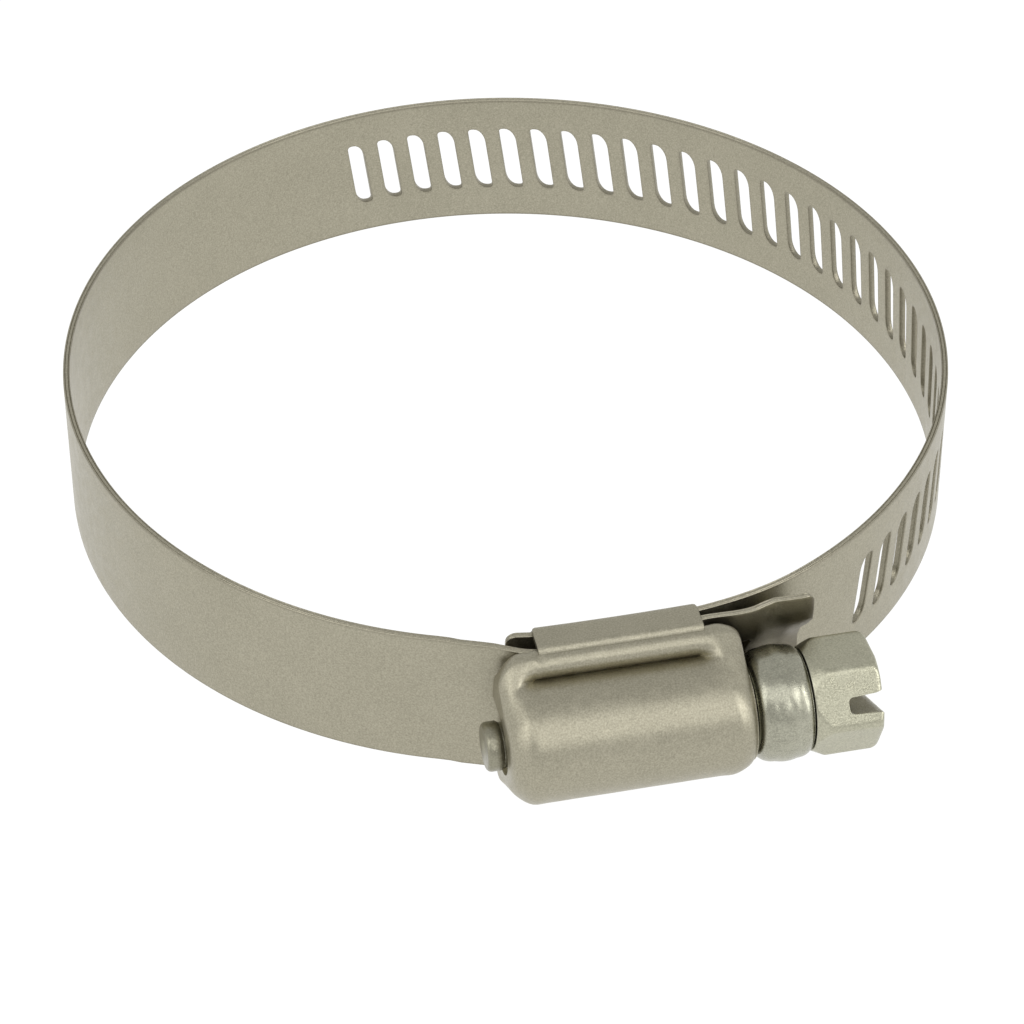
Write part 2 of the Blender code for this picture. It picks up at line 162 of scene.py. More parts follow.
def finish_piece(obj, material, slot, *nodes):
    obj.data.materials.clear()
    obj.data.materials.append(material)
    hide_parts(*nodes)
    return obj


# ---------------------------------------------------------------- materials

BLOTCH, MOTTLE, GRAIN = 160, 900, 6500   # noise scales, for features of about 6, 1 and 0.15 mm
# Specks and glints: the grain at which they start and are full, and their tone as a share of the
# steel's dark or light one.
SPECK, GLINT = (0.5, 0.72, 0.7), (0.5, 0.3, 1.25)
MOST_SPECK = 0.5             # how far the tone goes towards a speck or a glint
# The dark tone that the edge mark mixes in: the sheared edges' own tone, and painted shade in the rims' burr
# grooves, on the slots' walls and on the tail's tip.
SHEARED_AND_SHADE = (0.13, 0.115, 0.085)
MOST_SHEARED_AND_SHADE = 0.6           # how far the tone goes towards the sheared-edge and painted-shade one where the edge mark is 1
GLOSS_SPREAD = 0.06          # how far the mottling moves the roughness


def node(tree, kind, **inputs):
    made = tree.nodes.new(kind)
    for name, value in inputs.items():
        made.inputs[name.replace("_", " ")].default_value = value
    return made


def math_node(tree, operation, first, second):
    made = tree.nodes.new("ShaderNodeMath")
    made.operation = operation
    for socket, value in zip(made.inputs, (first, second)):
        if isinstance(value, (int, float)):
            socket.default_value = value
        else:
            tree.links.new(value, socket)
    return made.outputs[0]


def mix_colour(tree, factor, first, second):
    made = tree.nodes.new("ShaderNodeMix")
    made.data_type = "RGBA"
    tree.links.new(factor, made.inputs["Factor"])
    for socket, value in ((made.inputs["A"], first), (made.inputs["B"], second)):
        if isinstance(value, tuple):
            socket.default_value = (*value, 1)
        else:
            tree.links.new(value, socket)
    return made.outputs["Result"]


def stretch_range(tree, value, low, high, to_low, to_high):
    made = node(tree, "ShaderNodeMapRange", From_Min=low, From_Max=high, To_Min=to_low, To_Max=to_high)
    tree.links.new(value, made.inputs["Value"])
    return made.outputs["Result"]


def noise_at(tree, place, scale, detail=2.0, stretch=(1, 1, 1)):
    """Noise with features of about 1 / scale metres, drawn out along the axes by stretch."""
    mapping = tree.nodes.new("ShaderNodeMapping")
    mapping.inputs["Scale"].default_value = stretch
    tree.links.new(place, mapping.inputs["Vector"])
    made = node(tree, "ShaderNodeTexNoise", Scale=scale, Detail=detail, Roughness=0.55)
    tree.links.new(mapping.outputs["Vector"], made.inputs["Vector"])
    return made.outputs["Fac"]


def steel(name, light, dark, roughness, grain, mottle):
    """Steel with a mottled tone, fine grain in tone and relief, and dark sheared edges and painted shade
    where the edge mark is set.
    """
    made = bpy.data.materials.new(name)
    made.use_nodes = True
    tree = made.node_tree
    shader = tree.nodes["Principled BSDF"]
    shader.inputs["Metallic"].default_value = 1
    place = tree.nodes.new("ShaderNodeTexCoord").outputs["Object"]
    blotch = noise_at(tree, place, BLOTCH, 3.0)
    mottled = noise_at(tree, place, MOTTLE, 3.0)
    fine = noise_at(tree, place, GRAIN, 2.0)
    halves = [math_node(tree, "MULTIPLY", value, 0.5) for value in (blotch, mottled)]
    tone = math_node(tree, "ADD", *halves)
    tone = stretch_range(tree, tone, 0.5 - mottle, 0.5 + mottle, 0.0, 1.0)
    colour = mix_colour(tree, tone, dark, light)
    for (start, end, share), tint in ((SPECK, dark), (GLINT, light)):
        spots = stretch_range(tree, fine, start, end, 0.0, MOST_SPECK)
        colour = mix_colour(tree, spots, colour, tuple(min(channel * share, 1) for channel in tint))
    edge = tree.nodes.new("ShaderNodeAttribute")
    edge.attribute_name = "edge"
    sheared_and_shade = math_node(tree, "MULTIPLY", edge.outputs["Fac"], MOST_SHEARED_AND_SHADE)
    colour = mix_colour(tree, sheared_and_shade, colour, SHEARED_AND_SHADE)
    tree.links.new(colour, shader.inputs["Base Color"])
    gloss = stretch_range(tree, mottled, 0.3, 0.7, roughness - GLOSS_SPREAD, roughness + GLOSS_SPREAD)
    tree.links.new(gloss, shader.inputs["Roughness"])
    relief = math_node(tree, "ADD", fine, math_node(tree, "MULTIPLY", mottled, 0.6))
    bumps = node(tree, "ShaderNodeBump", Strength=1.0, Distance=grain)
    tree.links.new(relief, bumps.inputs["Height"])
    tree.links.new(bumps.outputs["Normal"], shader.inputs["Normal"])
    return made


# ---------------------------------------------------------------- the band

COLUMN = 13                  # points across one face of the strip
TOP_MIDS = 7                 # extra stations along the rims beside a slot
SOFT = 0.3 * MM              # how far the rims reach into the faces
STATION = 1.0 * MM           # usual distance between two stations
CLOSEST = 0.02 * MM          # two stations stand further apart than this
CORNER_STEPS = 9             # stations round an end's corner
FIXED_CORNER, TIP_CORNER = 1.1 * MM, 0.6 * MM    # corner radius of the strip's two ends
CAP_DRAW, CAP_MARK = 0.999, 0.3     # share that an end's rim is drawn in to, and its edge mark
ROUTE_STEPS = 3000
# The sheared rim, from the inner face to the outer: (outwards, up) in mm, with a burr line by each face.
RIM = [
    (-0.305, -0.05), (-0.255, -0.005), (-0.215, -0.012), (-0.17, -0.07), (-0.12, -0.012), (0.0, 0.0),
    (0.085, -0.008), (0.135, -0.065), (0.18, -0.015), (0.255, -0.012), (0.305, -0.055),
]
# Edge marks along the rim: the sheared edge's tone, with painted shade at both corners and in the groove
# beside each burr.
RIM_MARKS = [0.95, 0.3, 0.1, 0.6, 0.1, 0.0, 0.1, 0.6, 0.1, 0.1, 0.6]
# The punched slot's wall, from the outer face to the inner: (offset from the outline, outwards) in mm.
SLOT_RINGS = [
    (0.30, 0.325), (0.10, 0.325), (0.03, 0.30), (0.0, 0.24), (0.0, 0.06), (0.015, -0.02),
    (0.01, -0.26), (0.03, -0.31), (0.08, -0.325), (0.26, -0.325),
]
# Edge marks on the slot's wall: its sheared tone, with painted shade on the wall, darkest by each face.
SLOT_MARKS = [0.0, 0.25, 0.9, 0.5, 0.3, 0.6, 0.5, 0.9, 0.25, 0.0]


def slot_outline():
    """Half of the slot's outline about its centre, as (along, up): turned half round, it is the rest."""
    half_w, half_l = SLOT_W / 2, SLOT_L / 2
    small, wide, tall = 0.36 * MM, 1.0 * MM, 1.6 * MM
    corner = [pi * 1.5 - pi / 2 * step / 3 for step in range(4)]
    half = [(-half_w + small + small * cos(a), -half_l + small + small * sin(a)) for a in corner]
    low, high = -half_l + small, half_l - tall
    half += [(-half_w, low + (high - low) * step / 7) for step in range(1, 7)]
    bow = [pi - pi / 2 * step / 6 for step in range(7)]
    half += [(-half_w + wide + wide * cos(a), half_l - tall + tall * sin(a)) for a in bow]
    start, end = -half_w + wide, half_w - small
    half += [(start + (end - start) * step / 4, half_l) for step in range(1, 4)]
    return half


def slot_ring(centre, offset):
    """The whole outline, moved outwards by the offset and slanted, as (along, up)."""
    half = slot_outline()
    outline = np.array(half + [(-along, -up) for along, up in half])
    ahead = np.roll(outline, -1, 0) - np.roll(outline, 1, 0)
    normal = np.stack([-ahead[:, 1], ahead[:, 0]], 1) / np.linalg.norm(ahead, axis=1)[:, None]
    moved = outline + normal * offset
    lean = tan(SLOT_SLANT)
    return [(centre + along + up * lean, up) for along, up in moved]


class Strip(Shell):
    """A flat strip as (along, outwards, up), ready to be bent."""

    def __init__(self, length, slots, start_round, end_round):
        super().__init__()
        self.length, self.start_round, self.end_round = length, start_round, end_round
        self.heights = np.linspace(-BAND_W / 2 + SOFT, BAND_W / 2 - SOFT, COLUMN)
        before = self.station(0)
        first = before
        for start, end, centre in self.cells(slots):
            after = self.station(end)
            if centre is None:
                self.strip(before, after, closed=True)
            else:
                self.slot_cell(before, after, start, end, centre)
            before = after
        self.cap(first, 0.0)
        self.cap(before, length)

    def cells(self, slots):
        """(start, end, slot centre or None) from one end to the other."""
        found, place = [], 0.0
        for centre in [*slots, None]:
            stop = self.length if centre is None else centre - PITCH / 2
            marks = self.stops(place, stop)
            found += [(one, two, None) for one, two in zip(marks, marks[1:])]
            if centre is not None:
                found.append((stop, stop + PITCH, centre))
                place = stop + PITCH
        return found

    def stops(self, start, end):
        if end - start < 0.001 * MM:
            return []
        parts = max(1, round((end - start) / STATION))
        stops = {start + (end - start) * part / parts for part in range(parts + 1)}
        for step in range(1, CORNER_STEPS + 1):
            share = 1 - cos(pi / 2 * step / CORNER_STEPS)
            corners = {self.start_round * share, self.length - self.end_round * share}
            stops |= {place for place in corners if start < place < end}
        ordered = sorted(stops)
        return [ordered[0]] + [two for one, two in zip(ordered, ordered[1:]) if two - one > CLOSEST]

    def narrowing(self, along):
        """How much the strip's half width is cut back by a rounded end corner."""
        cut = 0.0
        for corner, inset in ((self.start_round, along), (self.end_round, self.length - along)):
            if inset < corner:
                cut = corner - sqrt(corner**2 - (corner - inset) ** 2)
        return cut

    def rim_points(self, along, side):
        half = BAND_W / 2 - self.narrowing(along)
        return [(along, out * MM, side * (half + up * MM)) for out, up in RIM]

    def face_points(self, along, out):
        scale = 1 - self.narrowing(along) / (BAND_W / 2 - SOFT)
        return [(along, out, height * scale) for height in self.heights]

    def station(self, along):
        """A closed row round the strip: inner face up, top rim, outer face down, bottom rim."""
        row = self.row(self.face_points(along, -BAND_T / 2))
        row += self.rim(along, 1)
        row += self.row(self.face_points(along, BAND_T / 2)[::-1])
        row += self.rim(along, -1)[::-1]
        return row

    def rim(self, along, side):
        row = self.row(self.rim_points(along, side))
        for index, mark in zip(row, RIM_MARKS):
            self.marks[index] = mark
        return row

    def split(self, station):
        """The inner face, top rim, outer face and bottom rim of a station, each inner to outer or upwards."""
        rims = len(RIM)
        inner, top = station[:COLUMN], station[COLUMN:COLUMN + rims]
        outer = station[COLUMN + rims:2 * COLUMN + rims][::-1]
        return inner, top, outer, station[2 * COLUMN + rims:][::-1]

    def slot_cell(self, before, after, start, end, centre):
        """The stretch round one slot: its two rims here, and its faces and the slot's wall by punch."""
        one, two = self.split(before), self.split(after)
        high, low = [one[1]], [one[3]]
        inner_high, outer_high = [one[0][-1]], [one[2][-1]]
        inner_low, outer_low = [one[0][0]], [one[2][0]]
        edges = (inner_high, outer_high, inner_low, outer_low)
        top = BAND_W / 2 - SOFT
        for step in range(1, TOP_MIDS + 1):
            along = start + (end - start) * step / (TOP_MIDS + 1)
            high.append(self.rim(along, 1))
            low.append(self.rim(along, -1))
            corners = [(out, up) for up in (top, -top) for out in (-BAND_T / 2, BAND_T / 2)]
            for edge, (out, up) in zip(edges, corners):
                edge += self.row([(along, out, up)])
        high.append(two[1])
        low.append(two[3])
        for edge, index in zip(edges, (two[0][-1], two[2][-1], two[0][0], two[2][0])):
            edge.append(index)
        for step in range(TOP_MIDS + 1):
            for rims, inner, outer in ((high, inner_high, outer_high), (low, inner_low, outer_low)):
                here = [inner[step], *rims[step], outer[step]]
                there = [inner[step + 1], *rims[step + 1], outer[step + 1]]
                self.strip(here, there)
        self.punch(centre, (one[2], outer_high, two[2], outer_low), (one[0], inner_high, two[0], inner_low))

    def punch(self, centre, outer_sides, inner_sides):
        """The two faces of a slot's cell and the slot's wall, as rings from the outer face to the inner."""
        rings = [self.loop(*outer_sides)]
        for (offset, out), mark in zip(SLOT_RINGS, SLOT_MARKS):
            ring = slot_ring(centre, offset * MM)
            rings.append(self.row([(along, out * MM, up) for along, up in ring], mark))
        rings.append(self.loop(*inner_sides))
        for one, two in zip(rings, rings[1:]):
            self.strip(one, two, closed=True)

    @staticmethod
    def loop(left, top, right, bottom):
        """Once round a cell: up its left side, along its top, down its right side and back."""
        return list(left) + top[1:-1] + list(right)[::-1] + bottom[1:-1][::-1]

    def cap(self, station, along):
        """Closes an end, with its rim drawn in a little first."""
        rim = [self.points[index] for index in station]
        inner = self.row([(along, out * CAP_DRAW, up) for _, out, up in rim], CAP_MARK)
        self.strip(station, inner, closed=True)
        one, top, two, bottom = self.split(inner)
        self.strip(one, two)
        self.faces.append([one[-1], *top, two[-1]])
        self.faces.append([one[0], *bottom, two[0]])


class Route:
    """A path round the ring, read by length: the strip's middle surface at each angle."""

    def __init__(self, radius, start, end):
        self.angles = np.linspace(start, end, ROUTE_STEPS)
        radii = radius(self.angles)
        self.x, self.y = radii * np.cos(self.angles), radii * np.sin(self.angles)
        moves = np.hypot(np.diff(self.x), np.diff(self.y))
        self.lengths = np.concatenate([[0], np.cumsum(moves)])
        self.length = float(self.lengths[-1])
        self.slope_x, self.slope_y = np.gradient(self.x, self.lengths), np.gradient(self.y, self.lengths)

    def length_at(self, angle):
        return float(np.interp(angle, self.angles, self.lengths))

    def bend(self, flat, dish=None):
        """Points in the ring's axes of the flat strip's points (along, outwards, up)."""
        along, out, up = np.array(flat).T
        if dish is not None:
            out = out + dish(np.interp(along, self.lengths, self.angles), up)
        ahead_x, ahead_y = (np.interp(along, self.lengths, row) for row in (self.slope_x, self.slope_y))
        x = np.interp(along, self.lengths, self.x) + ahead_y * out
        y = np.interp(along, self.lengths, self.y) - ahead_x * out
        return np.stack([x, y, up], 1).tolist()


LEFT_SEAM_AT = radians(176)  # where the two stretches of the strip meet, edge on
CURL, CURL_FROM = 0.1 * MM, radians(-69.5)   # a little more flare at the tip than the CAD model's


def fixed_radius(angle):
    """Middle of the strip from its fixed end on: tucked in where it is the inner layer."""
    return MID_R - TUCK * (1 - ease(angle, TUCK_FROM, TUCK_TO))


def free_radius(angle):
    """Middle of the strip's free half: on the ring, then lifted under the worm, then flared at the tip."""
    lifted = MID_R + TAIL_LIFT * ease(angle, LIFT_FROM, LIFT_TO)
    flared = lifted + TIP_FLARE * ease(angle, FLARE_FROM, FLARE_TO)
    return flared + CURL * ease(angle, CURL_FROM, TAIL_TIP_AT)


# The hump at the mouth: two rises as (height, from, to), a fall, and the heights on the strip
# between which it grows.
HUMP_RISES = ((0.28 * MM, radians(-110), radians(-107)), (0.55 * MM, radians(-104), radians(-98.6)))
HUMP_FALL = (radians(-97.5), radians(-92))
HUMP_ACROSS = (1.5 * MM, 6.0 * MM)
# The dished plate at the tip: a rise, a dip as (depth, at, width), a second rise that ends at the
# tip, and the heights on the strip between which it grows.
PLATE_RISE = (1.1 * MM, radians(-79), radians(-71.5))
PLATE_DIP = (0.1 * MM, radians(-69.5), radians(2))
TIP_RISE, TIP_RISE_FROM = 0.85 * MM, radians(-69)
PLATE_ACROSS = (1.2 * MM, 4.6 * MM)


def raised(angle, height, start, end):
    return height * ease(angle, start, end)


def tail_dish(angle, up):
    """How much further out the strip stands at this height on it than in its middle."""
    hump = sum(raised(angle, *rise) for rise in HUMP_RISES)
    hump *= 1 - ease(angle, *HUMP_FALL)
    depth, dip_at, dip_w = PLATE_DIP
    plate = raised(angle, *PLATE_RISE) - depth * bump(angle, dip_at, dip_w)
    plate += raised(angle, TIP_RISE, TIP_RISE_FROM, TAIL_TIP_AT)
    return hump * ease(np.abs(up), *HUMP_ACROSS) + plate * ease(np.abs(up), *PLATE_ACROSS)


# Painted shade on the outer face of the tail's tip from this angle on, with a painted reflection up it.
PAINTED_SHADE_FROM = radians(-79.5)
PAINTED_SHADE, PAINTED_SHADE_RAMP = 1.25, 1.5 * MM       # edge mark of the painted shade on the tip's outer face, and how soon it is reached
PAINTED_REFLECTION, PAINTED_REFLECTION_BACK, PAINTED_REFLECTION_W = 0.5, 3.4 * MM, 1.3 * MM     # painted reflection: a lighter streak, this far back from the tip
OUTER_FACE = 0.31 * MM       # points further out than this are on the outer face
RIM_DEPTH = 0.1 * MM         # the strip's rim, which gets no painted shade


def paint_tip_shade(strip, start):
    """Paints shade on the outer face of the strip's tip, except on its rim and on a lighter streak up it,
    which is a painted reflection.
    """
    for index, (along, out, up) in enumerate(strip.points):
        if along > start and out > OUTER_FACE and abs(up) < BAND_W / 2 - RIM_DEPTH:
            dark = PAINTED_SHADE * ease(along, start, start + PAINTED_SHADE_RAMP)
            dark -= PAINTED_REFLECTION * bump(along, strip.length - PAINTED_REFLECTION_BACK, PAINTED_REFLECTION_W)
            strip.marks[index] = max(strip.marks[index], float(dark))


def add_bands(material):
    fixed_end_at = -pi / 2 + asin(FIXED_END_X / (MID_R - TUCK))
    ring = Route(fixed_radius, fixed_end_at, LEFT_SEAM_AT)
    back = ring.length_at(BACK_AT)
    slots = [back + (count + 0.5) * PITCH for count in range(-SLOTS_BEFORE_BACK, SLOTS_AFTER_BACK)]
    flat = Strip(ring.length, slots, FIXED_CORNER, 0.0)
    band = add_object("band_ring", ring.bend(flat.points), flat.faces, flat.marks)
    finish_piece(band, material, "stainless", "band_fixed_half", "band_free_half")
    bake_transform(band)

    tail = Route(free_radius, LEFT_SEAM_AT - 2 * pi, TAIL_TIP_AT)
    worm = tail.length_at(THREAD_AT / (MID_R + TAIL_LIFT) - pi / 2)
    slots = [worm + (count - TAIL_SLOTS_BEFORE) * PITCH for count in range(TAIL_SLOTS)]
    flat = Strip(tail.length, slots, 0.0, TIP_CORNER)
    # painted shade and a painted reflection on the tip's outer face
    paint_tip_shade(flat, tail.length_at(PAINTED_SHADE_FROM))
    end = add_object("band_free_end", tail.bend(flat.points, tail_dish), flat.faces, flat.marks)
    finish_piece(end, material, "stainless", "band_tail")
    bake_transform(end)


# ---------------------------------------------------------------- the screw and its collar


def about_screw(x, radius, angle):
    """A point at this angle up from -Y, seen from the hex head's end."""
    return (x, -SCREW_REACH - radius * cos(angle), radius * sin(angle))


ROOT_R, CREST_R = 2.85 * MM, 3.9 * MM
THREAD_FROM, THREAD_TO = -6.8 * MM, 8.1 * MM
FLANK_FROM, FLANK_TO = 0.28 * MM, 0.62 * MM      # where the thread's flank starts and ends, from its middle
WORM_FROM, WORM_TO, WORM_STEP = -8.7 * MM, 8.2 * MM, 0.11 * MM      # stations along the thread
JOURNAL_R, JOURNAL_FROM, JOURNAL_TO = 4.0 * MM, 8.8 * MM, 11.5 * MM
PILOT_R, PILOT_END, CORE_FROM, PEEN_R = 2.0 * MM, -12.0 * MM, -9.1 * MM, 2.2 * MM
PEEN_LENGTH, PEEN_ROUND = 0.45 * MM, 0.4 * MM    # the peened end's round, along the screw and across
PEEN_TO = -10.6 * MM
PILOT_DARKENING = 0.8             # edge mark of the pilot, which makes it darker
SHANK_R = 3.2 * MM
HEAD_FROM, HEAD_TO, HEAD_SEAT_R = 16.75 * MM, 22.8 * MM, 4.35 * MM
HEX_FLATS, HEX_CORNER_AT, TURNED_R = 9.3 * MM, radians(6.4), 5.24 * MM
NEAR_CHAMFER, NEAR_SLOPE = 4.62 * MM, 0.5        # the cone that turns the corners down at the collar's side
NEAR_LENGTH, NEAR_STEP = 1.6 * MM, 0.08 * MM     # stations along that cone
HEAD_ROUND, FLATS_ROUND = 0.7 * MM, 0.35         # the rolled rim of the face, and its share on the flats
FACE_RADII = (4.1, 3.4, 2.0, 0.8)                # rings of points on the face, in mm
DRIVE_W, DRIVE_DEPTH, DRIVE_AT = 1.7 * MM, 3.1 * MM, radians(28)
# The screwdriver slot's mouth: (beyond the face, beyond the slot's wall) in mm.
DRIVE_MOUTH = ((1.0, 0.6), (0.05, 0.22), (-0.2, 0.08), (-0.7, 0.0))
DRIVE_ROUND, DRIVE_DRAFT = 0.4 * MM, 0.1 * MM    # corners at the slot's floor, and how far it narrows
DRIVE_REACH, DRIVE_CUTS = 7 * MM, 15             # half the cutter's length, and the sections along it
SHAKE, SHAKE_SIZE = 0.05 * MM, 0.9 * MM          # roughness of the slot's walls
HEAD_SPOKES = 240


def thread_radius(x, angle):
    """Root or crest radius of a right-hand thread, with sloping flanks and faded ends."""
    turned = (pi - angle) / (2 * pi)
    phase = (x - THREAD_AT) / PITCH - turned
    away = abs(phase - round(phase)) * PITCH
    height = 1 - ease(away, FLANK_FROM, FLANK_TO)
    height *= ease(x, THREAD_FROM, THREAD_FROM + PITCH / 2) * (1 - ease(x, THREAD_TO - PITCH / 4, THREAD_TO))
    return ROOT_R + (CREST_R - ROOT_R) * float(height)


def soft_min(first, second, crisp=160):
    """The smaller of two positive numbers, with the step from one to the other rounded a little."""
    return (first**-crisp + second**-crisp) ** (-1 / crisp)


def head_radius(x, angle):
    """The hexagon, with corners turned down, a cone at the collar's side and a rolled rim at the face."""
    facet = (angle - HEX_CORNER_AT) % (pi / 3) - pi / 6
    flat = HEX_FLATS / 2 / cos(facet)
    turned = soft_min(TURNED_R / MM, (NEAR_CHAMFER + NEAR_SLOPE * (x - HEAD_FROM)) / MM)
    to_face = HEAD_TO - x
    if to_face < HEAD_ROUND:
        across = sqrt(max(HEAD_ROUND**2 - (HEAD_ROUND - to_face) ** 2, 0))
        turned = min(turned, (TURNED_R - HEAD_ROUND + across) / MM)
        flat -= FLATS_ROUND * (HEAD_ROUND - across)
    return soft_min(flat / MM, turned) * MM


def screw_stations():
    """(x, radius or radius function) along the screw, from the peened end to the face."""
    peen = [(PILOT_END, PEEN_R * 0.55), (PILOT_END + 0.03 * MM, PEEN_R * 0.8)]
    peen += [
        (PILOT_END + PEEN_LENGTH * (1 - cos(a)), PEEN_R - PEEN_ROUND * (1 - sin(a)))
        for a in np.linspace(0.3, pi / 2, 6)
    ]
    peen += [(PEEN_TO - 0.15 * MM, PEEN_R), (PEEN_TO, PEEN_R - 0.1 * MM), (PEEN_TO + 0.1 * MM, PILOT_R)]
    core = [(CORE_FROM - 0.05 * MM, PILOT_R), (CORE_FROM, PILOT_R + 0.1 * MM), (CORE_FROM + 0.3 * MM, ROOT_R)]
    worm = [(x, thread_radius) for x in np.arange(WORM_FROM, WORM_TO, WORM_STEP)]
    journal = [
        (WORM_TO + 0.2 * MM, ROOT_R),
        (JOURNAL_FROM - 0.05 * MM, JOURNAL_R - 0.1 * MM), (JOURNAL_FROM + 0.08 * MM, JOURNAL_R),
        (JOURNAL_TO - 0.1 * MM, JOURNAL_R), (JOURNAL_TO, JOURNAL_R - 0.1 * MM),
        (JOURNAL_TO + 0.01 * MM, SHANK_R),
    ]
    shank = [(HEAD_FROM - 0.02 * MM, SHANK_R), (HEAD_FROM - 0.01 * MM, HEAD_SEAT_R)]
    head = [(HEAD_FROM + x, head_radius) for x in np.arange(0, NEAR_LENGTH, NEAR_STEP)]
    flats = np.linspace(HEAD_FROM + NEAR_LENGTH + 0.1 * MM, HEAD_TO - HEAD_ROUND, 8)
    head += [(x, head_radius) for x in flats]
    head += [(HEAD_TO - HEAD_ROUND * (1 - sin(a)), head_radius) for a in np.linspace(0.2, pi / 2, 8)]
    face = [(HEAD_TO + 0.005 * MM, radius * MM) for radius in FACE_RADII]
    return peen + core + worm + journal + shank + head + face


def add_screw(material):
    shell = Shell()
    angles = [HEX_CORNER_AT + 2 * pi * step / HEAD_SPOKES for step in range(HEAD_SPOKES)]
    rows = []
    for x, radius in screw_stations():
        read = radius if callable(radius) else lambda _x, _angle, fixed=radius: fixed
        darkening = PILOT_DARKENING if x < CORE_FROM else 0.0
        rows.append(shell.row([about_screw(x, read(x, angle), angle) for angle in angles], darkening))
    for one, two in zip(rows, rows[1:]):
        shell.strip(one, two, closed=True)
    for row, x in ((rows[0], PILOT_END), (rows[-1], HEAD_TO)):
        shell.fan(row, shell.row([about_screw(x, 0, 0)])[0])
    screw = add_object("worm_screw_body", shell.points, shell.faces, shell.marks)
    cut_drive_slot(screw)
    finish_piece(screw, material, "screw_steel", "worm_screw")
    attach(screw, "screw")


def cut_drive_slot(screw):
    """Takes a screwdriver slot out of the head's face: a flared mouth and rounded corners at its floor."""
    half, floor = DRIVE_W / 2, HEAD_TO - DRIVE_DEPTH
    side = [(HEAD_TO + out * MM, half + flare * MM) for out, flare in DRIVE_MOUTH]
    side += [
        (floor + DRIVE_ROUND * (1 - sin(a)), half - DRIVE_DRAFT - DRIVE_ROUND * (1 - cos(a)))
        for a in np.linspace(0, pi / 2, 6)
    ]
    outline = side + [(x, -across) for x, across in reversed(side)]
    shell = Shell()
    rows = []
    for along in np.linspace(-DRIVE_REACH, DRIVE_REACH, DRIVE_CUTS):
        rough = [noise.noise(Vector((x, along, across)) / SHAKE_SIZE) * SHAKE for x, across in outline]
        rows.append(shell.row([
            (x + shake, -SCREW_REACH - along * cos(DRIVE_AT) - across * sin(DRIVE_AT),
             along * sin(DRIVE_AT) - across * cos(DRIVE_AT))
            for (x, across), shake in zip(outline, rough)
        ]))
    for one, two in zip(rows, rows[1:]):
        shell.strip(one, two, closed=True)
    shell.faces += [rows[0], rows[-1]]
    cutter = add_object("drive_slot_cutter", shell.points, shell.faces)
    step = screw.modifiers.new("drive_slot", "BOOLEAN")
    step.operation, step.solver, step.object = "DIFFERENCE", "EXACT", cutter
    apply_modifiers(screw)
    bpy.data.objects.remove(cutter, do_unlink=True)


def apply_modifiers(obj):
    graph = bpy.context.evaluated_depsgraph_get()
    mesh = bpy.data.meshes.new_from_object(obj.evaluated_get(graph))
    obj.modifiers.clear()
    obj.data = mesh
    mesh.shade_smooth()
    mesh.set_sharp_from_angle(angle=SHARP)


COLLAR_R, COLLAR_BORE = 5.2 * MM, 3.3 * MM
COLLAR_FROM, COLLAR_TO = 11.65 * MM, 16.65 * MM
BARREL = 0.15 * MM           # how much further out the collar's middle stands than its rounds
# The rounds towards the housing and towards the head: length, and height as a share of it.
NEAR_ROUND, NEAR_RISE = 1.7 * MM, 0.85
FAR_ROUND, FAR_RISE = 1.15 * MM, 0.55
COLLAR_LIP = 0.12 * MM
COLLAR_SPOKES = 120
PLAIN_R = 3.7 * MM           # the bore and its edge have no dents
COLLAR_DENT, COLLAR_DENT_SIZE = 0.018 * MM, 2.4 * MM


def collar_outline():
    """(x, radius) from the bore's near end over the outside to its far end."""
    rim, start, end = COLLAR_R - BARREL, COLLAR_FROM + NEAR_ROUND, COLLAR_TO - FAR_ROUND - COLLAR_LIP
    outline = [(COLLAR_FROM, COLLAR_BORE), (COLLAR_FROM, 3.6 * MM)]
    outline += [
        (COLLAR_FROM + NEAR_ROUND * (1 - cos(a)), rim - NEAR_ROUND * NEAR_RISE * (1 - sin(a)))
        for a in np.linspace(0.15, pi / 2, 14)
    ]
    outline += [
        (x, rim + BARREL * sin(pi * (x - start) / (end - start))) for x in np.linspace(start, end, 10)[1:-1]
    ]
    outline += [
        (COLLAR_TO - COLLAR_LIP - FAR_ROUND * (1 - sin(a)), rim - FAR_ROUND * FAR_RISE * (1 - cos(a)))
        for a in np.linspace(0, pi / 2 - 0.25, 12)
    ]
    seat = outline[-1][1]
    outline += [(COLLAR_TO - COLLAR_LIP / 2, seat - 0.04 * MM), (COLLAR_TO, seat - 0.16 * MM)]
    return outline + [(COLLAR_TO, COLLAR_BORE)]


def add_collar(material):
    """A burnished barrel-shaped ring: a broad round towards the housing, a rolled lip towards the head."""
    shell = Shell()
    spokes = [2 * pi * step / COLLAR_SPOKES for step in range(COLLAR_SPOKES)]
    rows = []
    for x, radius in collar_outline():
        places = [Vector(about_screw(x, radius, a)) for a in spokes]
        depth = COLLAR_DENT if radius >= PLAIN_R else 0.0
        dents = [noise.noise(place / COLLAR_DENT_SIZE) * depth for place in places]
        rows.append(shell.row([about_screw(x, radius + dent, a) for a, dent in zip(spokes, dents)]))
    for one, two in zip(rows, rows[1:] + rows[:1]):
        shell.strip(one, two, closed=True)
    collar = add_object("collar_ring", shell.points, shell.faces)
    finish_piece(collar, material, "collar_steel", "screw_collar")
    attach(collar, "screw")


# ---------------------------------------------------------------- the housing

